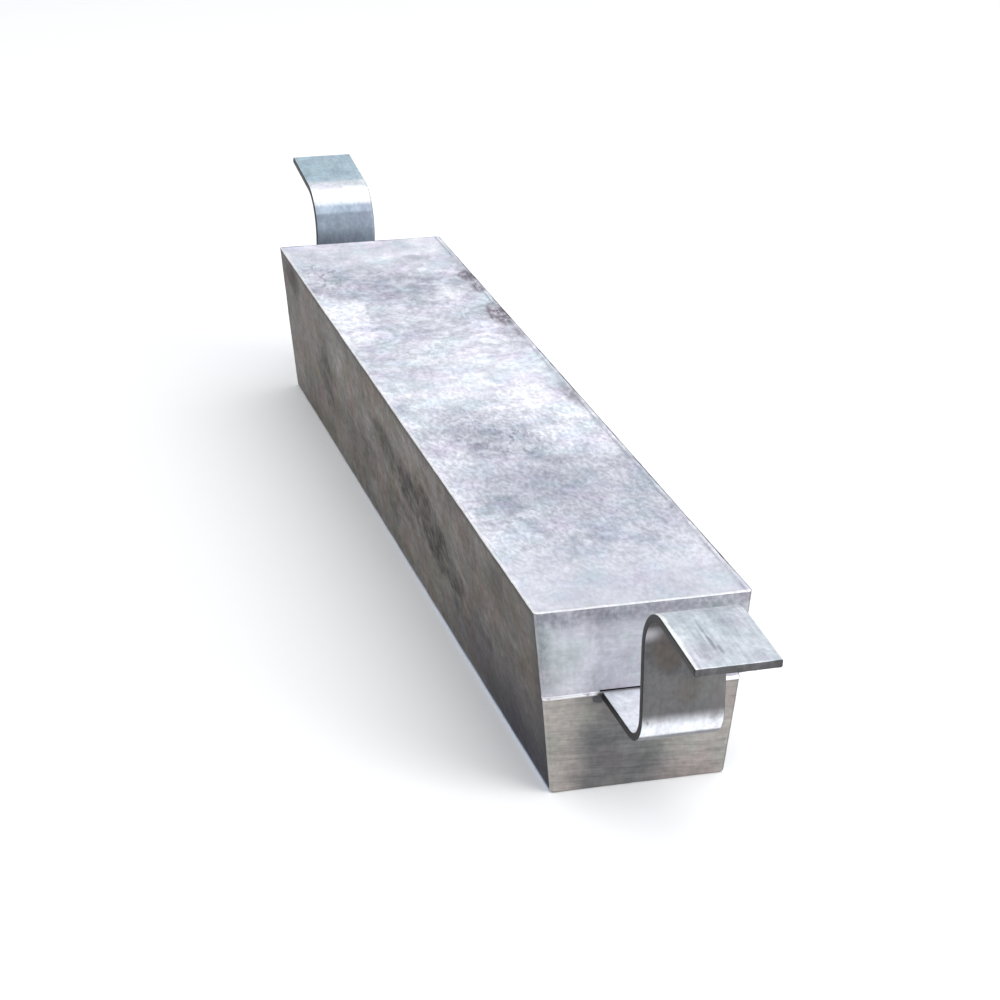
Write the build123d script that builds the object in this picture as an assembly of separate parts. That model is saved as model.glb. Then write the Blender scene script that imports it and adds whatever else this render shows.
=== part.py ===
from build123d import *
import math
import os

os.makedirs("parts", exist_ok=True)

# A long cast block, tapered like the open mould it was poured in, with one flat bar cast
# into it from end to end. Each end of the bar is cranked up and out into a weld foot.
# Millimetres. +X runs along the block and +Z is up. The block stands on its narrow face,
# at Z = 0, and the origin is the middle of that face.

# Cast block
block_length = 750.0         # at the wide face
block_height = 120.0
wide_face_width = 135.0
narrow_face_width = 110.0
end_draft = 3.2              # lean of each lower end wall, from the parting line down
end_ledge = 1.2              # the lower end wall stands this far proud of the upper one
corner_radius = 3.0          # upright corners of the mould
foot_edge_radius = 2.0       # edges round the narrow face
lip_width = 2.5              # raised rim round the open pour face
lip_height = 0.9
lip_slope = 2.0              # run of the rim's inner slope

# Flat bar cast into the block
bar_width = 50.0
bar_thickness = 5.0
bar_edge_radius = 1.0        # the mill leaves the bar's long edges rounded
bar_top_height = 65.0        # upper face of the bar, and the mould's parting line
lower_bend_radius = 17.0     # inside radius of the bend from the block up into each upright

# Right-hand crank, bent a little tighter, with a foot that drops towards its tip
right_standoff = 73.0        # end of the wide face to the outer side of the upright
right_bend_radius = 25.0     # inside radius of the bend from the upright into the foot
right_foot_height = 158.0    # where the upper faces of upright and foot would meet
right_foot_length = 88.0     # from that corner to the tip
right_foot_rise = -4.0       # degrees that the foot climbs towards its tip

# Left-hand crank, bent in a wider curve, with a foot that climbs towards its tip
left_standoff = 57.0
left_bend_radius = 35.0
left_foot_height = 142.0
left_foot_length = 98.0
left_foot_rise = 7.0

# Packing recess in the upper end walls, just over the bar
recess_height = 1.2
recess_depth = 2.0
recess_side_gap = 1.0        # the recess is wider than the bar by this, on each side


def block_section():
    """The trapezoid seen from the end, wide face up."""
    corners = [
        (-narrow_face_width / 2, 0),
        (narrow_face_width / 2, 0),
        (wide_face_width / 2, block_height),
        (-wide_face_width / 2, block_height),
    ]
    return make_face(Polyline(*corners, close=True))


def lower_side_outline():
    """Side view below the parting line: the end walls lean in towards the narrow face."""
    top = block_length / 2 + end_ledge
    bottom = top - end_draft
    corners = [(-bottom, 0), (bottom, 0), (top, bar_top_height), (-top, bar_top_height)]
    return make_face(Polyline(*corners, close=True))


def upper_side_outline():
    """Side view above the parting line: the end walls are upright and set back."""
    end = block_length / 2
    corners = [
        (-end, bar_top_height),
        (end, bar_top_height),
        (end, block_height),
        (-end, block_height),
    ]
    return make_face(Polyline(*corners, close=True))


def block_storey(side_outline):
    """The part of the block inside one side outline, with its upright corners rounded."""
    section = extrude(Plane.YZ * block_section(), block_length, both=True)
    storey = section & extrude(Plane.XZ * side_outline, wide_face_width, both=True)
    upright_corners = [edge for edge in storey.edges() if abs((edge % 0.5).Z) > 0.9]
    return fillet(upright_corners, corner_radius)


def pour_hollow():
    """What the rim stands round: the pour face settles below it as the metal sets."""
    mouth = Plane.XY.offset(block_height) * Rectangle(
        block_length - 2 * lip_width,
        wide_face_width - 2 * lip_width,
    )
    floor = Plane.XY.offset(block_height - lip_height) * Rectangle(
        block_length - 2 * (lip_width + lip_slope),
        wide_face_width - 2 * (lip_width + lip_slope),
    )
    return loft([mouth, floor])


def crank_corners(standoff, foot_height, foot_length, foot_rise):
    """Upper face of one crank seen from the side: foot of the upright, its head, and the tip."""
    upright = block_length / 2 + standoff - bar_thickness
    rise = math.radians(foot_rise)
    tip = (upright + foot_length * math.cos(rise), foot_height + foot_length * math.sin(rise))
    return [(upright, bar_top_height), (upright, foot_height), tip]


def bar_upper_line():
    """The bar's upper face seen from the side, from the left foot's tip to the right one's."""
    right = crank_corners(right_standoff, right_foot_height, right_foot_length, right_foot_rise)
    left = crank_corners(left_standoff, left_foot_height, left_foot_length, left_foot_rise)
    left = [(-x, z) for x, z in reversed(left)]
    radii = [
        left_bend_radius + bar_thickness,
        lower_bend_radius,
        lower_bend_radius,
        right_bend_radius + bar_thickness,
    ]
    return Plane.XZ * FilletPolyline(*left, *right, radius=radii)


def make_core_bar():
    """One flat bar with four bends: its side view carried across, with rolled long edges."""
    side_view = offset(bar_upper_line(), bar_thickness, side=Side.RIGHT, closed=True)
    bar = extrude(make_face(side_view), bar_width / 2, both=True)
    end_to_end = bar.faces().sort_by(Axis.X)
    tips = ShapeList([end_to_end[0], end_to_end[-1]])
    long_edges = bar.faces().filter_by(Axis.Y).edges() - tips.edges()
    return fillet(long_edges, bar_edge_radius)


def end_recess():
    """The thin pocket over the bar, open at the right-hand end wall."""
    return Pos(block_length / 2, 0, bar_top_height - bar_edge_radius) * Box(
        2 * recess_depth,
        bar_width + 2 * recess_side_gap,
        bar_edge_radius + recess_height,
        align=(Align.CENTER, Align.CENTER, Align.MIN),
    )


def make_cast_block(core_bar):
    """The casting, shaped by the mould and closed round the bar."""
    lower = block_storey(lower_side_outline())
    lower = fillet(lower.edges().group_by(Axis.Z)[0], foot_edge_radius)
    upper = block_storey(upper_side_outline())
    block = lower + upper
    block -= pour_hollow()
    block -= end_recess()
    block -= mirror(end_recess(), about=Plane.YZ)
    return block - core_bar


core_bar = make_core_bar()
cast_block = make_cast_block(core_bar)
export_step(core_bar, "parts/core_bar.step")
export_step(cast_block, "parts/cast_block.step")
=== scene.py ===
import math
from collections import namedtuple

import bpy
from mathutils import Matrix, Vector, noise


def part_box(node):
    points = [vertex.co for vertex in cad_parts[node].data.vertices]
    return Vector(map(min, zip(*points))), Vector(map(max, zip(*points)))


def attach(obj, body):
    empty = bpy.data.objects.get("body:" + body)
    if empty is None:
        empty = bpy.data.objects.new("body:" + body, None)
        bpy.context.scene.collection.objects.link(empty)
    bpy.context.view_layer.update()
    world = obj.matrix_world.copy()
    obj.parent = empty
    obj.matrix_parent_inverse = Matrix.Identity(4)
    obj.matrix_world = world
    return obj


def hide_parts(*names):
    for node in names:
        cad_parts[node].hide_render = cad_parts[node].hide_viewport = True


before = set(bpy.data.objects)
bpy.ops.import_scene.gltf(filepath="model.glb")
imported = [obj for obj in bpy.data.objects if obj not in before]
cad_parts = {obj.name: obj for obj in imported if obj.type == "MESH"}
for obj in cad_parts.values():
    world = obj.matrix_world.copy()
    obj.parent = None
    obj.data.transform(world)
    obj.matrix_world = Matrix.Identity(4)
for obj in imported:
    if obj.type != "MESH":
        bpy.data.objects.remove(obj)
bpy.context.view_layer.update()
_, block_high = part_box("cast_block")
bar_low, bar_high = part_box("core_bar")

MM = 0.001

# The casting, as it left the mould
end_ledge = 1.2 * MM
end_draft = 3.2 * MM
half_length = block_high.x - end_ledge
half_width = block_high.y
block_height = block_high.z
narrow_half_width = 55 * MM
corner_radius = 3 * MM
foot_edge_radius = 2 * MM
lip_height = 0.9 * MM
lip_width = 2.5 * MM
lip_slope = 2.0 * MM
recess_height = 1.2 * MM
recess_depth = 2 * MM
recess_side_gap = 1 * MM

# How uneven the casting is
wall_swell = 0.20 * MM
wall_grit = 0.07 * MM
fin_reach = 0.9 * MM         # flash squeezed into the parting line
fin_gap = 1.5 * MM           # kept clear of flash beside the bar
pour_sink = 0.5 * MM         # the middle of the pour face, below its border
pour_swell = 0.34 * MM
pour_ripple = 0.13 * MM
bite_drop = 1.6 * MM

# The bar cast into it
Crank = namedtuple("Crank", "standoff bend_radius foot_height foot_length foot_rise")
right_crank = Crank(73 * MM, 25 * MM, 158 * MM, 88 * MM, math.radians(-4))
left_crank = Crank(57 * MM, 35 * MM, 142 * MM, 98 * MM, math.radians(7))
bar_half_width = bar_high.y
bar_thickness = 5 * MM
bar_edge_radius = 1 * MM
lower_bend_radius = 17 * MM
parting_height = bar_low.z + bar_thickness

# How uneven the bar is
bar_wave = 0.10 * MM
tip_tuck = 0.35 * MM         # the shear rounds a tip's outline by this
burr_drag = 0.9 * MM         # metal dragged down along a tip's lower edge
burr_recess = 0.7 * MM       # how far back the torn tip reaches


def clamp(value, low, high):
    return max(low, min(high, value))


def smooth(value):
    """Eases 0 to 1."""
    value = clamp(value, 0, 1)
    return value * value * (3 - 2 * value)


def spread(start, stop, step):
    """Even places from start up to, but not with, stop."""
    count = max(1, math.ceil((stop - start) / step))
    return [start + (stop - start) * i / count for i in range(count)]


def rough(place, size, octaves=4, seed=0.0):
    """Fractal unevenness about zero, for lumps of the given size."""
    shifted = Vector(place) / size + Vector((seed, -seed, 0.5 * seed))
    return noise.fractal(shifted, 1.0, 2.0, octaves)


def mesh_piece(name, points, faces, finishes, materials, smooth_angle):
    """A closed mesh piece with one material slot for each finish."""
    mesh = bpy.data.meshes.new(name)
    mesh.from_pydata(points, [], faces)
    for material in materials:
        mesh.materials.append(material)
    mesh.polygons.foreach_set("material_index", finishes)
    mesh.shade_smooth()
    mesh.set_sharp_from_angle(angle=smooth_angle)
    piece = bpy.data.objects.new(name, mesh)
    bpy.context.collection.objects.link(piece)
    return piece


# Shape of the casting

edge_steps = [step * MM for step in (0, 0.35, 0.75, 1.2, 1.8, 2.5, 3.4, 4.6)]
grid_step = 2.5 * MM
parting_share = parting_height / block_height
parting_half_width = narrow_half_width + (half_width - narrow_half_width) * parting_share
recess_half_width = (bar_half_width + recess_side_gap) * half_width / parting_half_width
recess_corner = 0.4 * MM


def plan_lines(half, stops):
    """Grid places from -half to half, close together at the edges and at each stop."""
    inner = half - edge_steps[-1]
    lines = [-half + step for step in edge_steps[:-1]]
    marks = [-inner, *stops, inner]
    for start, stop in zip(marks, marks[1:]):
        lines += spread(start, stop, grid_step)
    lines += [half - step for step in reversed(edge_steps)]
    return lines


length_lines = plan_lines(half_length, [])
width_lines = plan_lines(
    half_width,
    [
        -recess_half_width - recess_corner,
        -recess_half_width,
        recess_half_width,
        recess_half_width + recess_corner,
    ],
)


def wall_levels():
    """Heights of the rings that make up the walls, close at the parting line and the lip."""
    turns = [math.radians(angle) for angle in (0, 22, 45, 68)]
    rounding = [foot_edge_radius * (1 - math.cos(turn)) for turn in turns]
    ledge = [parting_height - step * MM for step in (2.2, 1.6, 1.1, 0.7, 0.35, 0.1, 0.0)]
    over = [parting_height + step * MM for step in (0.05, 0.3)]
    recess = [parting_height + recess_height + step * MM for step in (-0.3, -0.02, 0.0, 0.5)]
    lip = [block_height - step * MM for step in (2.4, 1.5, 0.9, 0.4)]
    return (
        rounding
        + spread(foot_edge_radius, ledge[0], grid_step)
        + ledge
        + over
        + recess
        + spread(recess[-1] + grid_step / 2, lip[0], grid_step)
        + lip
    )


def half_sizes(height):
    """Half length and half width of the walls at a height."""
    width = narrow_half_width + (half_width - narrow_half_width) * height / block_height
    if height > parting_height + 0.01 * MM:
        return half_length, width
    length = half_length + end_ledge - end_draft * (1 - height / parting_height)
    return length, width


def rounded_plan(x, y, length, width, radius):
    """Bends a point of the square-cornered plan round the corner, with its way outward."""
    core = Vector((
        clamp(x, radius - length, length - radius),
        clamp(y, radius - width, width - radius),
    ))
    out = Vector((x, y)) - core
    reach = max(abs(out.x), abs(out.y))
    if out.length > 0:
        out.normalize()
    return core + out * reach, out


def flash_fin(place, height):
    """The thin fin of metal squeezed into the parting line, on both sides of the bar."""
    beside_bar = smooth((abs(place.y) - bar_half_width - fin_gap) / (2 * fin_gap))
    near = smooth(1 - abs(height - parting_height + 0.5 * MM) / (1.2 * MM))
    wander = 0.8 + 0.6 * rough((place.x, place.y, 0), 8 * MM, seed=3.1)
    return fin_reach * beside_bar * near * clamp(wander, 0.15, 1.3)


def wall_point(line_x, line_y, height):
    """A point of the walls, from its place in the plan and its height."""
    length, width = half_sizes(height)
    inset = 0.0
    if height < foot_edge_radius:
        drop = foot_edge_radius - height
        inset = foot_edge_radius - math.sqrt(foot_edge_radius**2 - drop**2)
    radius = corner_radius - inset
    length -= inset
    width -= inset
    x = line_x / half_length * length
    y = line_y / half_width * width
    place, out = rounded_plan(x, y, length, width, radius)
    on_end = smooth(abs(out.x) * 1.5 - 0.25)
    amount = wall_swell * rough((place.x, place.y, height), 34 * MM, seed=1.7)
    amount += wall_grit * rough((place.x, place.y, height), 7 * MM, seed=5.3)
    amount += on_end * flash_fin(place, height)
    in_recess = parting_height < height < parting_height + recess_height - 0.01 * MM
    if in_recess and abs(line_y) <= recess_half_width + 0.01 * MM and abs(out.x) > 0.9:
        amount -= recess_depth
    place += out * amount
    return Vector((place.x, place.y, height))


# Bites out of the lip on the +Y edge, in millimetres: place along it, and reach
lip_bites = [(-288, 9), (-262, 8), (-196, 11), (-168, 12), (18, 8)]


def bite_depth(x, y):
    """How strongly the lip is eaten away here, 0 to 1."""
    depth = 0.0
    across = smooth((y - half_width + 13 * MM) / (5 * MM)) * smooth((half_width - y) / (2 * MM))
    for centre, reach in lip_bites:
        along = smooth(1.4 - abs(x - centre * MM) / (reach * MM))
        depth = max(depth, along * across)
    ragged = 0.55 + 0.9 * rough((x, y, 0), 6 * MM, seed=8.2)
    return depth * clamp(ragged, 0, 1)


def pour_height(x, y):
    """Height of the open pour face: a lip where the metal froze first, and a sunk middle."""
    from_edge = min(half_length - abs(x), half_width - abs(y))
    lip_strength = clamp(0.8 + 0.5 * rough((x, y, 0), 22 * MM, seed=2.4), 0.25, 1.2)
    crest = 1 - smooth((from_edge - lip_width) / lip_slope)
    outer = smooth(1 - from_edge / (0.8 * MM))
    height = block_height - lip_height
    height += lip_height * (crest * lip_strength - 0.45 * outer)
    middle = smooth(from_edge / (28 * MM))
    height -= pour_sink * middle
    height += pour_swell * middle * rough((x * 1.3, y * 0.8, 0), 19 * MM, seed=4.4)
    border = smooth(from_edge / (4 * MM))
    height += pour_ripple * border * rough((x, y, 0), 8 * MM, 5, seed=6.6)
    return height - bite_drop * bite_depth(x, y)


def casting_rings():
    """Points of the casting, the pour face's grid of them, and the rings down the walls."""
    points, pour, rings = [], {}, []

    def keep(point):
        points.append(point)
        return len(points) - 1

    nx, ny = len(length_lines) - 1, len(width_lines) - 1
    rim = (
        [(i, 0) for i in range(nx)]
        + [(nx, j) for j in range(ny)]
        + [(i, ny) for i in range(nx, 0, -1)]
        + [(0, j) for j in range(ny, 0, -1)]
    )
    for i, x in enumerate(length_lines):
        for j, y in enumerate(width_lines):
            place, _ = rounded_plan(x, y, half_length, half_width, corner_radius)
            pour[i, j] = keep(Vector((place.x, place.y, pour_height(x, y))))
    rings.append([pour[cell] for cell in rim])
    for height in reversed(wall_levels()):
        rings.append([keep(wall_point(length_lines[i], width_lines[j], height)) for i, j in rim])
    return points, pour, rings, nx, ny


POUR_FACE, LONG_WALL, UPPER_END, LOWER_END, NARROW_FACE = range(5)


def wall_finish(place):
    """Which finish a face of the walls takes."""
    length, _ = half_sizes(place.z)
    if length - abs(place.x) > corner_radius * 0.7:
        return LONG_WALL
    return UPPER_END if place.z > parting_height else LOWER_END


def narrow_faces(ring, nx, ny):
    """Closes the bottom with strips across the width, and one wider face at each end."""
    strips = []
    total = len(ring)
    for i in range(1, nx - 1):
        strips.append((ring[i], ring[total - ny - i], ring[total - ny - i - 1], ring[i + 1]))
    far = ring[total - ny - 1:] + ring[:2]
    near = ring[nx - 1:nx + ny + 2]
    return strips + [far[::-1], near[::-1]]


def casting_faces(points, pour, rings, nx, ny):
    """All faces of the casting, with the finish that each one takes."""
    faces, finishes = [], []
    for i in range(nx):
        for j in range(ny):
            faces.append((pour[i, j], pour[i + 1, j], pour[i + 1, j + 1], pour[i, j + 1]))
            finishes.append(POUR_FACE)
    for upper, lower in zip(rings, rings[1:]):
        for k in range(len(upper)):
            after = (k + 1) % len(upper)
            face = (upper[k], lower[k], lower[after], upper[after])
            faces.append(face)
            finishes.append(wall_finish(sum((points[p] for p in face), Vector()) / 4))
    bottom = narrow_faces(rings[-1], nx, ny)
    return faces + bottom, finishes + [NARROW_FACE] * len(bottom)


def make_casting(materials):
    """The block, from the rough pour face down to the narrow face it stands on."""
    layout = casting_rings()
    faces, finishes = casting_faces(*layout)
    points = [tuple(point) for point in layout[0]]
    crease = math.radians(38)
    casting = mesh_piece("anode_casting", points, faces, finishes, materials, crease)
    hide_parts("cast_block")
    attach(casting, "root")
    return casting


# Shape of the bar

def bend_stations(centre, radius, start, stop, steps):
    """Stations round one bend. The radius is negative where the bar turns upward."""
    stations = []
    for step in range(steps + 1):
        angle = start + (stop - start) * step / steps
        up = Vector((-math.sin(angle), math.cos(angle)))
        stations.append((centre + up * radius, up))
    return stations


def crank_stations(crank):
    """The bar's middle line from the centre of the block to one tip, seen from the side.

    Each station is a place and the way that the bar's upper face looks.
    """
    stations = []
    half_thick = bar_thickness / 2
    lower_radius = lower_bend_radius + half_thick
    upper_radius = crank.bend_radius + half_thick
    upright = half_length + crank.standoff - half_thick
    run_height = parting_height - half_thick
    quarter = math.radians(90)
    turn = quarter - crank.foot_rise
    taken_by_bend = (crank.bend_radius + bar_thickness) * math.tan(turn / 2)
    head = crank.foot_height - taken_by_bend
    flat = crank.foot_length - taken_by_bend
    for x in spread(0, upright - lower_radius, 6 * MM):
        stations.append((Vector((x, run_height)), Vector((0, 1))))
    centre = Vector((upright - lower_radius, run_height + lower_radius))
    stations += bend_stations(centre, -lower_radius, 0, quarter, 16)
    for z in spread(centre.y, head, 4 * MM)[1:]:
        stations.append((Vector((upright, z)), Vector((-1, 0))))
    centre = Vector((upright + upper_radius, head))
    stations += bend_stations(centre, upper_radius, quarter, quarter - turn, 20)
    start, up = stations[-1]
    along = Vector((up.y, -up.x))
    for distance in spread(0, flat, 3 * MM)[1:] + [flat - 1 * MM, flat - 0.4 * MM, flat]:
        stations.append((start + along * distance, up))
    return stations


def bar_section():
    """The bar's section: places across the width and through the thickness, anticlockwise."""
    inner = bar_half_width - bar_edge_radius
    half_thick = bar_thickness / 2
    flat = half_thick - bar_edge_radius
    lower = [(y, -half_thick) for y in spread(-inner, inner, 2.4 * MM) + [inner]]
    corner = []
    for turn in (math.radians(30), math.radians(60)):
        corner.append((bar_edge_radius * math.sin(turn), bar_edge_radius * math.cos(turn)))
    side = [(bar_half_width, t) for t in (-flat, 0, flat)]
    half = lower + [(inner + a, -flat - b) for a, b in corner] + side
    half += [(inner + b, flat + a) for a, b in corner]
    return half + [(-y, -t) for y, t in half]


UPPER_FACE, LOWER_FACE, ROLLED_EDGE, SHEARED_TIP = range(4)


def strip_finish(section, k):
    """Which finish the strip from one place of the section to the next takes."""
    ends = section[k], section[(k + 1) % len(section)]
    if max(abs(y) for y, _ in ends) > bar_half_width - 0.4 * bar_edge_radius:
        return ROLLED_EDGE
    return UPPER_FACE if ends[0][1] > 0 else LOWER_FACE


def tip_faces(section, first, outward):
    """Closes a sheared tip with strips that run through the thickness."""
    count = len(section)
    half_count = count // 2
    across = sum(1 for _, t in section if t == -bar_thickness / 2)
    lower = [first + k for k in range(across)]
    upper = [first + half_count + across - 1 - k for k in range(across)]
    strips = [(lower[k], upper[k], upper[k + 1], lower[k + 1]) for k in range(across - 1)]
    strips.append(tuple(first + k for k in range(half_count, across - 2, -1)))
    strips.append((first, *(first + k for k in range(count - 1, half_count + across - 2, -1))))
    return [tuple(reversed(face)) for face in strips] if outward else strips


def shear_burr(y, t, up, side):
    """How far the shear has dragged the metal at a tip: down at the lower edge, and unevenly."""
    drag = burr_drag * abs(rough((y, side * 40 * MM, 0), 6 * MM, 3, seed=6.1))
    recess = burr_recess * abs(rough((y, side * 40 * MM, t), 9 * MM, 3, seed=2.9))
    along = Vector((up.y, -up.x)) * side
    return along * -recess - up * (drag if t < 0 else 0)


def make_bar(materials):
    """The flat bar from tip to tip, with its rolled long edges and sheared tips."""
    right = crank_stations(right_crank)
    left = [(Vector((-p.x, p.y)), Vector((-up.x, up.y))) for p, up in crank_stations(left_crank)]
    stations = left[:0:-1] + right
    section = bar_section()
    count = len(section)
    points, faces, finishes = [], [], []
    for number, (place, up) in enumerate(stations):
        at_tip = number in (0, len(stations) - 1)
        tuck = tip_tuck if at_tip else 0.0
        for y, t in section:
            wave = bar_wave * rough((place.x, y, place.y), 26 * MM, 3, seed=9.7)
            at = place + up * (t - math.copysign(tuck, t) + wave)
            if at_tip:
                at += shear_burr(y, t, up, math.copysign(1, place.x))
            points.append((at.x, y - math.copysign(min(tuck, abs(y)), y), at.y))
    for ring in range(len(stations) - 1):
        first, second = ring * count, (ring + 1) * count
        for k in range(count):
            after = (k + 1) % count
            faces.append((first + k, first + after, second + after, second + k))
            finishes.append(strip_finish(section, k))
    tips = tip_faces(section, 0, outward=False)
    tips += tip_faces(section, (len(stations) - 1) * count, outward=True)
    finishes += [SHEARED_TIP] * len(tips)
    crease = math.radians(50)
    bar = mesh_piece("cranked_bar", points, faces + tips, finishes, materials, crease)
    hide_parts("core_bar")
    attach(bar, "root")
    return bar


# Nodes. Inside the materials every place and size is in millimetres, and these are the
# same walls and parting line in them.
side_edge = half_width / MM
end_edge = half_length / MM
parting_level = parting_height / MM


def rgb(red, green, blue):
    """A colour as the eye sees it, 0 to 255, on the scale that a shader takes."""
    def linear(value):
        value /= 255
        return value / 12.92 if value < 0.04 else ((value + 0.055) / 1.055) ** 2.4
    return linear(red), linear(green), linear(blue), 1


def put(tree, kind, inputs, **settings):
    """Adds a node, with its inputs set to values or joined to other nodes' outputs."""
    node = tree.nodes.new(kind)
    for name, value in settings.items():
        setattr(node, name, value)
    for socket, value in inputs.items():
        if isinstance(value, bpy.types.NodeSocket):
            tree.links.new(value, node.inputs[socket])
        else:
            node.inputs[socket].default_value = value
    return node


def calc(tree, operation, *values):
    return put(tree, "ShaderNodeMath", dict(enumerate(values)), operation=operation).outputs[0]


def times(tree, first, second):
    return calc(tree, "MULTIPLY", first, second)


def ramp(tree, value, slope, start):
    """Start where the value is 0, and more by the slope where it is 1."""
    return calc(tree, "MULTIPLY_ADD", value, slope, start)


def vector_calc(tree, operation, *values):
    node = put(tree, "ShaderNodeVectorMath", dict(enumerate(values)), operation=operation)
    return node.outputs["Value" if operation in ("LENGTH", "DOT_PRODUCT") else "Vector"]


def scaled(tree, vector, factor):
    """A vector or a colour times a number."""
    inputs = {0: vector, "Scale": factor}
    return put(tree, "ShaderNodeVectorMath", inputs, operation="SCALE").outputs[0]


def ease(tree, value, start, stop):
    """0 at start, 1 at stop, eased in between. Start may be the larger."""
    low, high = (0.0, 1.0) if start < stop else (1.0, 0.0)
    inputs = {
        "Value": value,
        "From Min": min(start, stop),
        "From Max": max(start, stop),
        "To Min": low,
        "To Max": high,
    }
    node = put(tree, "ShaderNodeMapRange", inputs, interpolation_type="SMOOTHSTEP")
    return node.outputs["Result"]


def mix(tree, share, first, second, blend="MIX"):
    """Two colours mixed. Sockets 0, 6 and 7 are the share and the colours, and 2 the result."""
    inputs = {0: share, 6: first, 7: second}
    node = put(tree, "ShaderNodeMix", inputs, data_type="RGBA", blend_type=blend)
    return node.outputs[2]


def cover(tree, colour, over, mask, strength=1.0):
    """Lays a second colour over the first where the mask is."""
    return mix(tree, times(tree, mask, strength), colour, over)


def split(tree, vector):
    return put(tree, "ShaderNodeSeparateXYZ", {"Vector": vector}).outputs


def noise_at(tree, place, size, detail=3.0, roughness=0.5, distortion=0.0):
    """Soft noise, 0 to 1, with lumps of about the given size."""
    inputs = {
        "Vector": place,
        "Scale": 1 / size,
        "Detail": detail,
        "Roughness": roughness,
        "Distortion": distortion,
    }
    return put(tree, "ShaderNodeTexNoise", inputs).outputs["Fac"]


def new_group(name, inputs, outputs):
    """An empty node group with named inputs and outputs. Gives the tree and its two ends."""
    tree = bpy.data.node_groups.new(name, "ShaderNodeTree")
    new_socket = tree.interface.new_socket
    for socket, (kind, value) in inputs.items():
        made = new_socket(name=socket, in_out="INPUT", socket_type="NodeSocket" + kind)
        if value is not None:
            made.default_value = value
    for socket, kind in outputs.items():
        new_socket(name=socket, in_out="OUTPUT", socket_type="NodeSocket" + kind)
    given = tree.nodes.new("NodeGroupInput").outputs
    result = tree.nodes.new("NodeGroupOutput").inputs
    return tree, given, result


def use(tree, group, **inputs):
    """Places a group in a tree. Input names are given with _ for each space."""
    node = tree.nodes.new("ShaderNodeGroup")
    node.node_tree = group
    for name, value in inputs.items():
        socket = node.inputs[name.replace("_", " ")]
        if isinstance(value, bpy.types.NodeSocket):
            tree.links.new(value, socket)
        else:
            socket.default_value = value
    return node.outputs


def make_blotch():
    """One soft mark on a surface, with a ragged outline."""
    tree, given, result = new_group(
        "blotch",
        {
            "Place": ("Vector", None),
            "Centre": ("Vector", (0, 0, 0)),
            "Size": ("Vector", (10, 10, 10)),
            "Raggedness": ("Float", 0.5),
            "Weight": ("Float", 1),
        },
        {"Mask": "Float"},
    )
    offset = vector_calc(tree, "SUBTRACT", given["Place"], given["Centre"])
    reach = vector_calc(tree, "LENGTH", vector_calc(tree, "DIVIDE", offset, given["Size"]))
    edge = noise_at(tree, given["Place"], 11, detail=4, roughness=0.6)
    edge = times(tree, calc(tree, "SUBTRACT", edge, 0.5), given["Raggedness"])
    reach = ramp(tree, edge, 4.0, reach)
    mask = ease(tree, reach, 1.25, 0.55)
    tree.links.new(times(tree, mask, given["Weight"]), result["Mask"])
    return tree


def make_strokes():
    """Scraped or brushed lines, long one way and fine the other."""
    tree, given, result = new_group(
        "strokes",
        {
            "Place": ("Vector", None),
            "Stroke Size": ("Vector", (60, 4, 60)),
            "Turn": ("Vector", (0, 0, 0)),
            "Waviness": ("Float", 4),
        },
        {"Lines": "Float"},
    )
    turned = put(
        tree,
        "ShaderNodeVectorRotate",
        {"Vector": given["Place"], "Rotation": given["Turn"]},
        rotation_type="EULER_XYZ",
    ).outputs[0]
    slow = {"Vector": given["Place"], "Scale": 1 / 55, "Detail": 1.0}
    drift = put(tree, "ShaderNodeTexNoise", slow)
    drift = vector_calc(tree, "SUBTRACT", drift.outputs["Color"], (0.5, 0.5, 0.5))
    place = vector_calc(tree, "ADD", turned, scaled(tree, drift, given["Waviness"]))
    place = vector_calc(tree, "DIVIDE", place, given["Stroke Size"])
    broad = noise_at(tree, place, 1, detail=2, roughness=0.5)
    fine = noise_at(tree, place, 0.42, detail=3, roughness=0.6)
    lines = calc(tree, "ADD", times(tree, broad, 0.6), times(tree, fine, 0.4))
    tree.links.new(ease(tree, lines, 0.36, 0.64), result["Lines"])
    return tree


def make_speckle():
    """Fine worm-like grain of metal that froze in the open air."""
    tree, given, result = new_group(
        "speckle",
        {"Place": ("Vector", None), "Grain Size": ("Vector", (4, 4, 4))},
        {"Grain": "Float", "Height": "Float"},
    )
    place = vector_calc(tree, "DIVIDE", given["Place"], given["Grain Size"])
    worms = noise_at(tree, place, 1, detail=1.6, roughness=0.5, distortion=0.4)
    lumps = noise_at(tree, place, 2.6, detail=2, roughness=0.5, distortion=0.3)
    grain = calc(tree, "ADD", times(tree, worms, 0.7), times(tree, lumps, 0.3))
    tree.links.new(ease(tree, grain, 0.36, 0.66), result["Grain"])
    tree.links.new(worms, result["Height"])
    return tree


def make_tint_drift():
    """Slow drift of a metal's colour between two faint tints."""
    tree, given, result = new_group(
        "tint_drift",
        {
            "Place": ("Vector", None),
            "Colour": ("Color", (1, 1, 1, 1)),
            "First Tint": ("Color", (1, 1, 1, 1)),
            "Second Tint": ("Color", (1, 1, 1, 1)),
            "Amount": ("Float", 0.5),
        },
        {"Colour": "Color"},
    )
    first = ease(tree, noise_at(tree, given["Place"], 30, detail=3), 0.42, 0.68)
    shifted = vector_calc(tree, "ADD", given["Place"], (310, -170, 90))
    second = ease(tree, noise_at(tree, shifted, 24, detail=3), 0.45, 0.7)
    first = times(tree, first, given["Amount"])
    second = times(tree, second, given["Amount"])
    colour = mix(tree, first, given["Colour"], given["First Tint"], "MULTIPLY")
    colour = mix(tree, second, colour, given["Second Tint"], "MULTIPLY")
    tree.links.new(colour, result["Colour"])
    return tree


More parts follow.
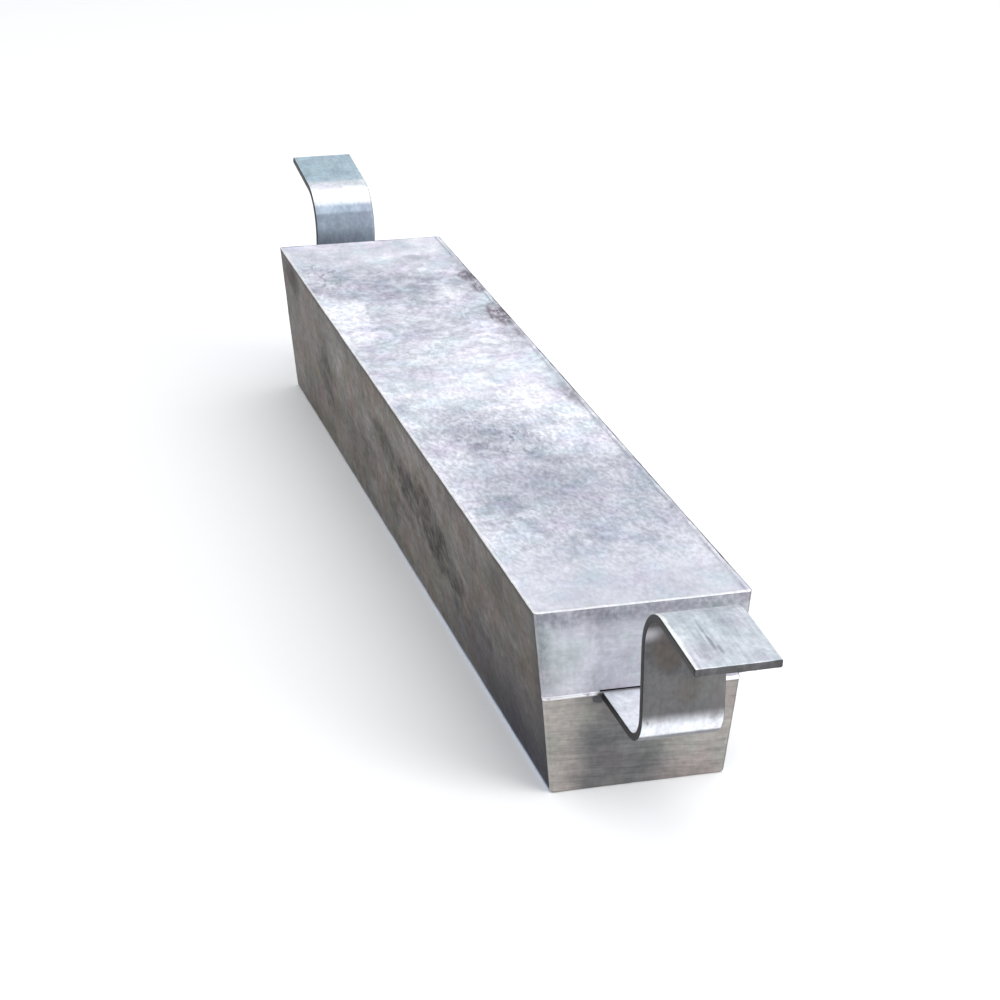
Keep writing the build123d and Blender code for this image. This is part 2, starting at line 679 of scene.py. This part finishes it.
def make_edge_rub_and_highlight():
    """Bright edge line: rubbed bare metal, and a painted highlight where an edge catches the
    light.
    """
    tree, given, result = new_group(
        "edge_rub_and_highlight",
        {
            "Place": ("Vector", None),
            "Gap": ("Float", 10),
            "Width": ("Float", 2),
        },
        {"Mask": "Float"},
    )
    wander = noise_at(tree, given["Place"], 13, detail=4, roughness=0.65)
    reach = times(tree, given["Width"], ramp(tree, wander, 1.6, 0.2))
    near = calc(tree, "DIVIDE", given["Gap"], reach)
    tree.links.new(ease(tree, near, 1.25, 0.7), result["Mask"])
    return tree


blotch = make_blotch()
strokes = make_strokes()
speckle = make_speckle()
tint_drift = make_tint_drift()
edge_rub_and_highlight = make_edge_rub_and_highlight()

# A mark in the metal. Its weight is how much lighter it makes the metal, or how strong a
# stain, pit or scratch it is.
Mark = namedtuple("Mark", "centre size raggedness weight")


def new_material(name):
    """A material with its shader, and the place on the object in millimetres."""
    material = bpy.data.materials.new(name)
    material.use_nodes = True
    tree = material.node_tree
    where = tree.nodes.new("ShaderNodeTexCoord").outputs["Object"]
    return material, tree, tree.nodes["Principled BSDF"], scaled(tree, where, 1 / MM)


def add_marks(tree, place, tone, marks):
    """Lightens or darkens a tone by each of the marks in turn."""
    for mark in marks:
        mask = use(
            tree,
            blotch,
            Place=place,
            Centre=mark.centre,
            Size=mark.size,
            Raggedness=mark.raggedness,
            Weight=mark.weight,
        )["Mask"]
        tone = calc(tree, "ADD", tone, mask)
    return tone


def limit(tree, marks, place):
    """All of the marks together, none of them heavier than 1."""
    return calc(tree, "MINIMUM", add_marks(tree, place, 0.0, marks), 1.0)


def tinted(tree, place, colour, tints, amount):
    """A colour that drifts slowly between two faint tints."""
    first_tint, second_tint = tints
    return use(
        tree,
        tint_drift,
        Place=place,
        Colour=colour,
        First_Tint=first_tint,
        Second_Tint=second_tint,
        Amount=amount,
    )["Colour"]


def blend(tree, value, weight, tone):
    """Adds a 0 to 1 pattern to a tone, as much lighter as darker."""
    swing = times(tree, calc(tree, "SUBTRACT", value, 0.5), weight)
    return calc(tree, "ADD", tone, swing)


def between(tree, value, low, high, soft):
    """1 from low to high, eased to 0 outside them."""
    rising = ease(tree, value, low - soft, low + soft)
    return times(tree, rising, ease(tree, value, high + soft, high - soft))


def finish_surface(tree, shader, colour, roughness, bare, height, depth):
    """Joins colour, roughness, bareness and relief to the shader. Depth is in millimetres."""
    tree.links.new(colour, shader.inputs["Base Color"])
    tree.links.new(roughness, shader.inputs["Roughness"])
    tree.links.new(bare, shader.inputs["Metallic"])
    relief = {"Height": height, "Distance": depth * MM, "Strength": 1.0}
    bump = put(tree, "ShaderNodeBump", relief)
    tree.links.new(bump.outputs["Normal"], shader.inputs["Normal"])


# Finishes of the casting

pour_shadow = rgb(156, 159, 172)
pour_bright = rgb(241, 242, 248)
pour_tints = rgb(251, 243, 252), rgb(239, 250, 251)
pit_grey = rgb(98, 96, 106)
smear_violet = rgb(98, 90, 102)
smear_fleck = rgb(222, 220, 228)
# Bright rim and edge lines: rubbed metal and painted highlight.
rub_and_highlight_bright = rgb(250, 249, 243)
groove_grey = rgb(120, 122, 132)
edge_shadow = rgb(92, 84, 86)
# Long wall colours, painted dark for the shade this side sits in.
shaded_wall_dark = rgb(66, 61, 58)
shaded_wall_bright = rgb(145, 140, 137)
wall_tints = rgb(252, 235, 230), rgb(238, 243, 224)
stain_brown = rgb(42, 36, 34)
low_wall_blue = rgb(48, 49, 62)
# Painted shade at the near corner of the long wall.
corner_shade_grey = rgb(54, 56, 60)
# Painted shadow under the lip.
lip_shade_brown = rgb(58, 54, 52)
foot_line_blue = rgb(190, 204, 226)
# Painted shade and painted highlight at the end walls' corners.
end_corner_shade = rgb(70, 68, 70)
end_corner_highlight = rgb(206, 202, 198)
# Painted highlight on the flash fin, and painted shade in the recess over the bar.
fin_highlight = rgb(242, 242, 244)
recess_shade_dark = rgb(34, 34, 38)
upper_end_dark = rgb(132, 134, 142)
upper_end_bright = rgb(202, 202, 210)
# The lower end wall's darker colours are partly painted shade for its drafted slope.
lower_end_dark = rgb(78, 81, 84)
lower_end_bright = rgb(164, 159, 153)
end_tints = rgb(251, 241, 246), rgb(238, 249, 241)


def pour_face_holes(tree, place, fine, colour):
    """Pits, and torn smears with bright flecks. Gives the colour, and where they go in."""
    pits = times(tree, ease(tree, fine, 0.52, 0.66), limit(tree, pitted_marks, place))
    smears = limit(tree, smeared_marks, place)
    flecks = times(tree, ease(tree, fine, 0.40, 0.72), smears)
    colour = cover(tree, colour, pit_grey, pits, 0.6)
    colour = cover(tree, colour, smear_violet, smears, 0.85)
    colour = cover(tree, colour, smear_fleck, flecks, 0.6)
    return colour, calc(tree, "MAXIMUM", pits, smears)


def pour_face_edges(tree, place, fine, cloud, colour):
    """The groove along one side, the dark far edges, and the rim of the near ones, rubbed bare
    and given a painted highlight.
    """
    x, y, _ = split(tree, place)
    groove = calc(tree, "ABSOLUTE", calc(tree, "SUBTRACT", y, side_edge - 3.6))
    groove = times(tree, ease(tree, groove, 1.0, 0.3), ease(tree, cloud, 0.42, 0.55))
    colour = cover(tree, colour, groove_grey, groove, 0.4)
    from_side = calc(tree, "ADD", y, side_edge)
    from_end = calc(tree, "SUBTRACT", end_edge, x)
    side_rim = use(tree, edge_rub_and_highlight, Place=place, Gap=from_side, Width=1.9)["Mask"]
    end_rim = use(tree, edge_rub_and_highlight, Place=place, Gap=from_end, Width=2.8)["Mask"]
    worn = ramp(tree, ease(tree, fine, 0.35, 0.6), 0.35, 0.5)
    rim = times(tree, calc(tree, "MAXIMUM", side_rim, end_rim), worn)
    # The rim is partly rubbed bare metal, partly a painted highlight along the lip catching the
    # light.
    colour = cover(tree, colour, rub_and_highlight_bright, rim, 0.55)
    far_line = ease(tree, x, 1.6 - end_edge, 0.6 - end_edge)
    side_line = ease(tree, y, side_edge - 1.2, side_edge - 0.6)
    dark_line = calc(tree, "MAXIMUM", far_line, side_line)
    colour = cover(tree, colour, edge_shadow, dark_line, 0.8)
    return colour, rim


def pour_face_metal():
    """Pale open-poured face: scraped at the far end, fine-grained towards the near one."""
    material, tree, shader, place = new_material("pour_face_metal")
    x = split(tree, place)["X"]
    scraped = times(tree, ease(tree, x, 60, -130), ease(tree, x, -345, -265))
    grained = times(tree, ease(tree, x, -60, 60), ease(tree, x, 370, 240))
    scrape_turn = (0, 0, math.radians(25))
    lines = use(
        tree, strokes, Place=place, Stroke_Size=(8, 7, 30), Turn=scrape_turn, Waviness=24,
    )["Lines"]
    grain = use(tree, speckle, Place=place, Grain_Size=(5.4, 2.8, 5.4))
    cloud = noise_at(tree, place, 26, detail=5, roughness=0.58, distortion=0.3)
    cloud_weight = ramp(tree, ease(tree, x, 60, 260), -0.7, 1.5)
    tone = blend(tree, cloud, cloud_weight, 0.56)
    tone = add_marks(tree, place, tone, pour_face_marks)
    colour = mix(tree, tone, pour_shadow, pour_bright)
    colour = tinted(tree, place, colour, pour_tints, 0.8)
    scrape_weight = ramp(tree, scraped, 0.28, 0.05)
    grain_weight = ramp(tree, grained, 0.20, 0.11)
    brightness = blend(tree, lines, scrape_weight, 0.885)
    brightness = blend(tree, grain["Grain"], grain_weight, brightness)
    colour = scaled(tree, colour, brightness)
    fine = noise_at(tree, vector_calc(tree, "DIVIDE", place, (2, 1, 1)), 3, detail=1.5)
    colour, holes = pour_face_holes(tree, place, fine, colour)
    colour, rim = pour_face_edges(tree, place, fine, cloud, colour)
    roughness = ramp(tree, grain["Grain"], 0.12, 0.60)
    bare = ramp(tree, rim, 0.15, 0.26)
    height = calc(tree, "ADD", lines, times(tree, grain["Height"], 0.9))
    height = calc(tree, "SUBTRACT", height, times(tree, holes, 2.5))
    finish_surface(tree, shader, colour, roughness, bare, height, 0.18)
    return material


pour_face_marks = [
    Mark((-255, 0, 120), (34, 90, 60), 0.35, -0.28),
    Mark((-345, 10, 120), (34, 60, 60), 0.30, 0.10),
    Mark((-190, -50, 120), (62, 18, 60), 0.50, 0.36),
    Mark((-35, 5, 120), (85, 70, 60), 0.35, 0.24),
    Mark((-130, 20, 120), (45, 50, 60), 0.50, -0.06),
    Mark((70, -24, 120), (44, 20, 60), 0.30, -0.24),
    Mark((98, 18, 120), (30, 18, 60), 0.50, -0.10),
    Mark((60, 40, 120), (70, 24, 60), 0.40, 0.26),
    Mark((213, -42, 120), (26, 18, 60), 0.50, -0.22),
    Mark((196, 10, 120), (90, 70, 60), 0.40, -0.27),
    Mark((330, -10, 120), (60, 60, 60), 0.30, -0.10),
    Mark((-326, 36, 120), (9, 11, 60), 0.60, -0.40),
    Mark((-235, 40, 120), (30, 10, 60), 0.50, 0.30),
    Mark((-130, 44, 120), (34, 12, 60), 0.50, 0.35),
]
pitted_marks = [
    Mark((76, -16, 120), (50, 28, 60), 0.40, 0.5),
    Mark((98, 8, 120), (24, 14, 60), 0.40, 0.45),
    Mark((190, 20, 120), (80, 60, 60), 0.40, 0.25),
    Mark((-290, -50, 120), (46, 14, 60), 0.50, 0.7),
    Mark((-70, -20, 120), (70, 40, 60), 0.50, 0.2),
]
smeared_marks = [
    Mark((-264, 62, 120), (15, 7, 60), 0.20, 1.1),
    Mark((-232, 63, 120), (11, 5, 60), 0.20, 0.9),
    Mark((-165, 61, 120), (27, 9, 60), 0.20, 1.2),
    Mark((-120, 64, 120), (14, 4, 60), 0.20, 0.6),
    Mark((22, 62, 120), (26, 5, 60), 0.30, 0.6),
]


def long_wall_stains(tree, place, lines):
    """Where the wall is stained: soft patches drawn out and streaked along the run marks."""
    drawn_out = vector_calc(tree, "DIVIDE", place, (2.2, 2, 1))
    broken = noise_at(tree, drawn_out, 13, detail=3, roughness=0.5)
    broken = times(tree, blend(tree, lines, 0.14, broken), 1.6)
    stains = calc(tree, "SUBTRACT", limit(tree, stain_marks, place), broken)
    stains = ease(tree, stains, -0.85, 0.60)
    drawn_out = vector_calc(tree, "DIVIDE", place, (1.3, 2, 1))
    fine = noise_at(tree, drawn_out, 6, detail=4, roughness=0.6)
    streaked = ease(tree, blend(tree, lines, 0.16, fine), 0.64, 0.38)
    return times(tree, stains, ramp(tree, streaked, 0.5, 0.5))


def long_wall_metal():
    """Dull mould-side skin painted darker as shade, with diagonal run marks, stains and a bluish
    lower edge.
    """
    material, tree, shader, place = new_material("long_wall_metal")
    x, _, z = split(tree, place)
    run_turn = (0, math.radians(-24), 0)
    lines = use(
        tree, strokes, Place=place, Stroke_Size=(34, 60, 9), Turn=run_turn, Waviness=26,
    )["Lines"]
    grain = use(tree, speckle, Place=place, Grain_Size=(7, 5, 4))["Grain"]
    cloud = noise_at(tree, place, 40, detail=6, roughness=0.65, distortion=0.3)
    tone = blend(tree, cloud, 1.3, 0.62)
    tone = add_marks(tree, place, tone, long_wall_marks)
    # The wall's colours are painted dark for the shade this side sits in, over a dull oxide
    # skin.
    colour = mix(tree, tone, shaded_wall_dark, shaded_wall_bright)
    colour = tinted(tree, place, colour, wall_tints, 0.9)
    colour = cover(tree, colour, stain_brown, long_wall_stains(tree, place, lines))
    brightness = blend(tree, grain, 0.30, blend(tree, lines, 0.30, 1.0))
    colour = scaled(tree, colour, brightness)
    near_low = times(tree, ease(tree, x, 60, 330), ease(tree, z, 80, 8))
    colour = cover(tree, colour, low_wall_blue, near_low, 0.85)
    # Painted shade: darker along the rounded corner at the near end.
    corner_shade = times(tree, ease(tree, x, 345, 372), 0.55)
    colour = cover(tree, colour, corner_shade_grey, corner_shade)
    # Painted shadow of the lip: a dark band just below the top edge.
    lip_shade = times(tree, ease(tree, z, 114, 118.5), 0.45)
    colour = cover(tree, colour, lip_shade_brown, lip_shade)
    foot_line = times(tree, ease(tree, z, 4.0, 1.2), ease(tree, x, -420, 250))
    colour = cover(tree, colour, foot_line_blue, foot_line)
    roughness = ramp(tree, lines, 0.12, 0.5)
    bare = ramp(tree, foot_line, 0.3, 0.5)
    height = calc(tree, "ADD", lines, grain)
    finish_surface(tree, shader, colour, roughness, bare, height, 0.12)
    shader.inputs["Specular Tint"].default_value = (0.5, 0.5, 0.5, 1)
    return material


long_wall_marks = [
    Mark((-330, -60, 106), (34, 60, 12), 0.40, -0.35),
    Mark((-130, -60, 88), (60, 60, 24), 0.40, 0.25),
    Mark((40, -60, 100), (110, 60, 16), 0.45, 0.20),
    Mark((300, -60, 84), (90, 60, 40), 0.40, -0.12),
]
stain_marks = [
    Mark((80, -60, 74), (66, 60, 20), 0.35, 1.0),
    Mark((136, -60, 56), (52, 60, 15), 0.35, 0.9),
    Mark((-226, -60, 60), (30, 60, 30), 0.40, 0.7),
    Mark((-16, -60, 80), (46, 60, 15), 0.40, 0.7),
    Mark((0, -60, 44), (120, 60, 18), 0.40, 0.45),
    Mark((-340, -60, 108), (24, 60, 10), 0.40, 0.5),
    Mark((215, -60, 38), (70, 60, 18), 0.40, 0.45),
]


def end_wall_shadow(tree, place, from_side):
    """How much darker the end wall is under the rim and beside its corner, in mottles."""
    z = split(tree, place)["Z"]
    mottled = ease(tree, noise_at(tree, place, 3.2, detail=4), 0.25, 0.75)
    # Painted shade in a band below the rim.
    lip_shade = times(tree, ease(tree, z, 104, 115), 0.55)
    beside_corner = times(tree, ease(tree, from_side, 11, 3), ease(tree, z, 66, 72))
    shadowed = calc(tree, "MAXIMUM", lip_shade, times(tree, beside_corner, 0.30))
    return times(tree, shadowed, ramp(tree, mottled, 0.8, 0.4))


def parting_line(tree, place):
    """Where the painted highlight along the flash fin is, beside the bar, and where the painted
    shade in the recess over the bar is.
    """
    x, y, z = split(tree, place)
    from_middle = calc(tree, "ABSOLUTE", y)
    seam_highlight = between(tree, z, parting_level - 1.4, parting_level + 0.5, 0.3)
    seam_highlight = times(tree, seam_highlight, ease(tree, from_middle, 27, 31))
    seam_highlight = times(tree, seam_highlight, ease(tree, noise_at(tree, place, 7, detail=3), 0.26, 0.44))
    in_recess = ease(tree, calc(tree, "ABSOLUTE", x), end_edge - 0.2, end_edge - 0.6)
    in_recess = times(tree, in_recess, ease(tree, z, parting_level - 0.3, parting_level))
    in_recess = times(tree, in_recess, ease(tree, from_middle, 28, 27))
    return seam_highlight, in_recess


def end_wall_metal(name, marks, dark, light, line_weight):
    """End wall skin: brushed across the width, with a painted highlight on the fin along the
    parting line.
    """
    material, tree, shader, place = new_material(name)
    _, y, z = split(tree, place)
    brush_turn = (math.radians(2), 0, 0)
    lines = use(
        tree, strokes, Place=place, Stroke_Size=(30, 32, 2.8), Turn=brush_turn, Waviness=4,
    )["Lines"]
    grain = use(tree, speckle, Place=place, Grain_Size=(3.6, 3.6, 3.6))
    tone = blend(tree, noise_at(tree, place, 26, detail=4, roughness=0.6), 0.9, 0.5)
    tone = add_marks(tree, place, tone, marks)
    widening = (half_width - narrow_half_width) / block_height
    wall_half_width = ramp(tree, z, widening, narrow_half_width / MM)
    from_side = calc(tree, "ADD", wall_half_width, y)
    tone = calc(tree, "SUBTRACT", tone, end_wall_shadow(tree, place, from_side))
    colour = mix(tree, tone, dark, light)
    colour = tinted(tree, place, colour, end_tints, 0.8)
    brightness = blend(tree, grain["Grain"], 0.16, blend(tree, lines, line_weight, 1.0))
    colour = scaled(tree, colour, brightness)
    # Painted shade along the +Y corner of the end wall.
    corner_shade_line = ease(tree, calc(tree, "SUBTRACT", wall_half_width, y), 2.6, 1.0)
    colour = cover(tree, colour, end_corner_shade, corner_shade_line, 0.55)
    # Painted highlight on the rounded -Y corner, where it catches the light.
    corner_highlight = ease(tree, from_side, 1.8, 0.9)
    colour = cover(tree, colour, end_corner_highlight, corner_highlight, 0.16)
    seam_highlight, in_recess = parting_line(tree, place)
    # Painted highlight along the flash fin.
    colour = cover(tree, colour, fin_highlight, seam_highlight, 0.9)
    # Painted shade in the recess over the bar.
    colour = cover(tree, colour, recess_shade_dark, in_recess)
    roughness = ramp(tree, lines, 0.14, 0.38)
    bare = ramp(tree, seam_highlight, 0.4, 0.5)
    height = blend(tree, lines, 3.3 * line_weight, times(tree, grain["Height"], 0.8))
    finish_surface(tree, shader, colour, roughness, bare, height, 0.10)
    return material


upper_end_marks = [
    # Lighter on the -Y side: painted light, against the light falling from +Y.
    Mark((375, -46, 88), (20, 18, 40), 0.30, 0.32),
]
lower_end_marks = [
    # Near end: lighter towards both sides, darker low in the middle: painted reflection.
    Mark((375, -60, 34), (20, 27, 90), 0.10, 0.46),
    Mark((375, 40, 34), (20, 34, 60), 0.12, 0.18),
    Mark((375, -16, 20), (20, 34, 40), 0.14, -0.26),
    # A dark mark beside the bar.
    Mark((375, -27, 61), (20, 3.5, 3.5), 0.50, -0.5),
    # Far end: lighter towards both sides, as on the near end: painted reflection.
    Mark((-375, -45, 34), (20, 26, 60), 0.15, 0.40),
    Mark((-375, 48, 34), (20, 24, 60), 0.15, 0.45),
]


# Finishes of the bar

zinc_tints = rgb(240, 249, 247), rgb(249, 242, 249)
# Painted reflection colours of the far crank.
far_upright_dark_reflection = rgb(214, 216, 216)
far_bend_reflection_blue = rgb(182, 194, 206)
far_foot_sky_reflection = rgb(212, 232, 238)
scratch_grey = rgb(104, 104, 112)
# Painted shade and dark reflection of the near upright.
upright_shade_brown = rgb(104, 102, 101)
# Painted brown reflection on the near upright.
brown_reflection_tint = rgb(238, 216, 200)
scuff_grey = rgb(98, 95, 94)
glint_grey = rgb(206, 204, 208)
bend_shadow = rgb(60, 58, 60)
upper_side_dark = rgb(150, 157, 167)
upper_side_bright = rgb(242, 244, 249)
lower_side_dark = rgb(214, 218, 226)
lower_side_bright = rgb(250, 252, 255)
# Near-black edge colours: painted shade, and on the tips also dark cut steel.
rolled_edge_shade_dark = rgb(22, 21, 22)
rolled_edge_shade_bright = rgb(66, 64, 64)
sheared_tip_shade_dark = rgb(20, 20, 22)
sheared_tip_shade_bright = rgb(112, 110, 112)


def zinc_coat(tree, place, dark, light, marks, line_weight):
    """Zinc-coated steel: rolling lines along the bar, clouds and faint spangle."""
    lines = use(tree, strokes, Place=place, Stroke_Size=(34, 2.2, 34), Waviness=2)["Lines"]
    grain = use(tree, speckle, Place=place, Grain_Size=(4.0, 3.0, 4.0))["Grain"]
    cloud = noise_at(tree, place, 13, detail=5, roughness=0.6)
    cells = put(tree, "ShaderNodeTexVoronoi", {"Vector": place, "Scale": 1 / 7})
    tone = add_marks(tree, place, blend(tree, cloud, 0.8, 0.5), marks)
    colour = mix(tree, tone, dark, light)
    colour = tinted(tree, place, colour, zinc_tints, 0.6)
    brightness = blend(tree, grain, 0.18, blend(tree, lines, line_weight, 1.0))
    spangle = split(tree, cells.outputs["Color"])[0]
    brightness = blend(tree, spangle, 0.08, brightness)
    colour = scaled(tree, colour, brightness)
    roughness = ramp(tree, cloud, 0.2, 0.26)
    bare = ramp(tree, lines, 0.12, 0.62)
    height = calc(tree, "ADD", times(tree, lines, 0.6), times(tree, cloud, 1.2))
    return colour, roughness, bare, height


def bar_upper_metal():
    """The bar's upper side, scratched on the near foot, with painted reflections on the far
    crank and a painted highlight along the near foot's edge.
    """
    material, tree, shader, place = new_material("bar_upper_metal")
    x, y, z = split(tree, place)
    near = ease(tree, x, 430, 440)
    line_weight = ramp(tree, near, 0.14, 0.08)
    colour, roughness, bare, height = zinc_coat(
        tree, place, upper_side_dark, upper_side_bright, bar_upper_marks, line_weight,
    )
    far_crank = ease(tree, x, -400, -410)
    # Painted reflections on the far crank: a darker upright, a bluish band under the bend and a
    # sky-blue foot top.
    far_upright_reflection = times(tree, ease(tree, z, 129.5, 127), far_crank)
    colour = mix(tree, far_upright_reflection, colour, far_upright_dark_reflection, "MULTIPLY")
    far_bend_reflection = times(tree, ease(tree, z, 136, 132.5), far_crank)
    colour = mix(tree, times(tree, far_bend_reflection, 0.9), colour, far_bend_reflection_blue, "MULTIPLY")
    roughness = ramp(tree, far_upright_reflection, 0.2, roughness)
    far_foot_reflection = ease(tree, x, -462, -470)
    colour = mix(tree, far_foot_reflection, colour, far_foot_sky_reflection, "MULTIPLY")
    on_run = between(tree, x, 378, 425, 4)
    on_foot = ease(tree, z, 147, 150)
    dull = calc(tree, "MAXIMUM", on_run, on_foot)
    bare = times(tree, bare, ramp(tree, dull, -0.35, 1.0))
    roughness = ramp(tree, on_foot, 0.16, roughness)
    colour = scaled(tree, colour, ramp(tree, on_foot, -0.09, 1.0))
    scratches = times(tree, limit(tree, scratch_marks, place), near)
    colour = cover(tree, colour, scratch_grey, scratches, 0.6)
    from_edge = calc(tree, "ADD", y, bar_half_width / MM)
    # Painted highlight along the near foot's -Y edge, where it catches the light.
    edge_highlight = use(tree, edge_rub_and_highlight, Place=place, Gap=from_edge, Width=2.6)["Mask"]
    edge_highlight = times(tree, edge_highlight, near)
    colour = cover(tree, colour, rub_and_highlight_bright, edge_highlight, 0.50)
    finish_surface(tree, shader, colour, roughness, bare, height, 0.05)
    return material


def bar_lower_metal():
    """The bar's under and outer side: painted shade and dark reflection on the near upright,
    with painted brown reflection patches, and a painted bright reflection along the lower bend.
    """
    material, tree, shader, place = new_material("bar_lower_metal")
    x, y, z = split(tree, place)
    colour, roughness, bare, height = zinc_coat(
        tree, place, lower_side_dark, lower_side_bright, bar_lower_marks, 0.12,
    )
    near_upright = ease(tree, x, 436, 442)
    # Painted shade and dark reflection over the near upright above the lower bend; below it the
    # bright base is a painted reflection along the bend.
    upright_shade = times(tree, ease(tree, z, 73, 85), near_upright)
    colour = mix(tree, upright_shade, colour, upright_shade_brown, "MULTIPLY")
    # Brownish patches on the near upright: painted reflection.
    brown_reflection = limit(tree, brown_reflection_marks, place)
    colour = mix(tree, brown_reflection, colour, brown_reflection_tint, "MULTIPLY")
    broken = ease(tree, noise_at(tree, place, 6, detail=4), 0.62, 0.34)
    scuffs = times(tree, limit(tree, scuff_marks, place), broken)
    colour = cover(tree, colour, scuff_grey, scuffs, 0.85)
    glint = times(tree, between(tree, z, 132, 140, 4), ease(tree, y, -12, -23))
    glint = times(tree, glint, near_upright)
    colour = cover(tree, colour, glint_grey, glint, 0.5)
    bottom_line = times(tree, ease(tree, z, 69.8, 67.4), ease(tree, x, 428, 434))
    colour = cover(tree, colour, bend_shadow, bottom_line, 0.8)
    roughness = ramp(tree, bottom_line, 0.5, roughness)
    bare = times(tree, bare, ramp(tree, bottom_line, -0.9, 1.0))
    finish_surface(tree, shader, colour, roughness, bare, height, 0.05)
    return material


def cut_steel(name, dark, light):
    """Rolled or sheared edge of the bar, near black: painted shade for the thin edges, and on
    the tips also dark cut steel.
    """
    material, tree, shader, place = new_material(name)
    colour, roughness, bare, height = zinc_coat(tree, place, dark, light, [], 0.3)
    roughness = calc(tree, "ADD", roughness, 0.14)
    finish_surface(tree, shader, colour, roughness, bare, height, 0.08)
    return material


bar_upper_marks = [
    # Lighter run between the block and the near upright: painted light.
    Mark((409, 0, 65), (44, 60, 12), 0.06, 0.50),
    # Painted highlight on the far upper bend.
    Mark((-453, 0, 145), (24, 60, 12), 0.04, 0.26),
    Mark((526, 0, 155), (30, 50, 24), 0.20, -0.08),
    Mark((474, 4, 155), (17, 40, 24), 0.30, -0.12),
    Mark((480, 9, 154), (26, 9, 20), 0.40, -0.16),
    Mark((500, -12, 154), (26, 8, 20), 0.40, -0.08),
]
scratch_marks = [
    Mark((505, -6.6, 154), (8, 1.1, 20), 0.25, 1.0),
    Mark((513, -4.0, 154), (6, 1.0, 20), 0.25, 0.9),
    Mark((490, -6.8, 154), (13, 0.7, 20), 0.25, 0.45),
    Mark((499, -9.5, 154), (6, 0.6, 20), 0.30, 0.5),
    Mark((520, -14, 154), (4, 1.5, 20), 0.40, 0.5),
]
bar_lower_marks = [
    # Lighter right side of the near upright: painted reflection.
    Mark((448, 17, 96), (12, 10, 16), 0.30, 0.5),
    # Darker top of the near upright, under the foot: painted shade.
    Mark((448, -4, 124), (14, 22, 18), 0.30, -0.9),
]
scuff_marks = [
    Mark((448, -23, 79), (10, 2.4, 3), 0.20, 1.0),
    Mark((444, 20, 94), (16, 6, 22), 0.50, 0.8),
    Mark((444, 25, 68), (16, 5, 9), 0.35, 0.6),
]
# Where the near upright takes its painted brown reflection.
brown_reflection_marks = [
    Mark((448, -10, 122), (14, 12, 14), 0.30, 0.8),
    Mark((448, 2, 98), (14, 10, 10), 0.30, 0.4),
]


# Camera, lights and floor

def make_camera():
    """A long lens, low over the near end of the block."""
    place = Vector((1.76352, -0.47977, 0.77903))
    target = Vector((0.015567, 0.012728, 0.041603))
    roll = Matrix.Rotation(math.radians(0.59), 3, "Z")
    data = bpy.data.cameras.new("camera")
    data.lens = 99.054
    data.sensor_width = 36
    camera = bpy.data.objects.new("camera", data)
    camera.location = place
    aim = (target - place).to_track_quat("-Z", "Y").to_matrix()
    camera.rotation_euler = (aim @ roll).to_euler()
    bpy.context.collection.objects.link(camera)
    bpy.context.scene.camera = camera


def softbox(name, place, size, power, target=(0, 0, 0.06)):
    data = bpy.data.lights.new(name, "AREA")
    data.shape = "RECTANGLE"
    data.size, data.size_y = size
    data.energy = power
    light = bpy.data.objects.new(name, data)
    light.location = place
    light.rotation_euler = (Vector(target) - Vector(place)).to_track_quat("-Z", "Y").to_euler()
    bpy.context.collection.objects.link(light)


def make_studio():
    """A pale floor under a large soft light, with even light all round."""
    reach = 12
    mesh = bpy.data.meshes.new("floor")
    corners = [(-reach, -reach, 0), (reach, -reach, 0), (reach, reach, 0), (-reach, reach, 0)]
    mesh.from_pydata(corners, [], [(0, 1, 2, 3)])
    floor = bpy.data.objects.new("floor", mesh)
    bpy.context.collection.objects.link(floor)
    material = bpy.data.materials.new("pale_floor")
    material.use_nodes = True
    shader = material.node_tree.nodes["Principled BSDF"]
    shader.inputs["Base Color"].default_value = (0.93, 0.93, 0.93, 1)
    shader.inputs["Roughness"].default_value = 0.9
    mesh.materials.append(material)
    world = bpy.data.worlds.new("studio")
    world.use_nodes = True
    background = world.node_tree.nodes["Background"]
    background.inputs["Color"].default_value = (0.94, 0.965, 1.0, 1)
    background.inputs["Strength"].default_value = 0.75
    bpy.context.scene.world = world
    softbox("overhead_softbox", (0.0, 0.4, 2.4), (4.0, 3.2), 43)
    softbox("front_softbox", (1.87, 1.85, 0.85), (2.0, 1.5), 62)


casting_finishes = [
    pour_face_metal(),
    long_wall_metal(),
    end_wall_metal("upper_end_metal", upper_end_marks, upper_end_dark, upper_end_bright, 0.10),
    end_wall_metal("lower_end_metal", lower_end_marks, lower_end_dark, lower_end_bright, 0.30),
]
casting_finishes.append(casting_finishes[LOWER_END])
bar_finishes = [
    bar_upper_metal(),
    bar_lower_metal(),
    cut_steel("rolled_edge_shaded_metal", rolled_edge_shade_dark, rolled_edge_shade_bright),
    cut_steel("sheared_tip_shaded_metal", sheared_tip_shade_dark, sheared_tip_shade_bright),
]
make_casting(casting_finishes)
make_bar(bar_finishes)
make_studio()
make_camera()
bpy.context.scene.view_settings.view_transform = "Standard"
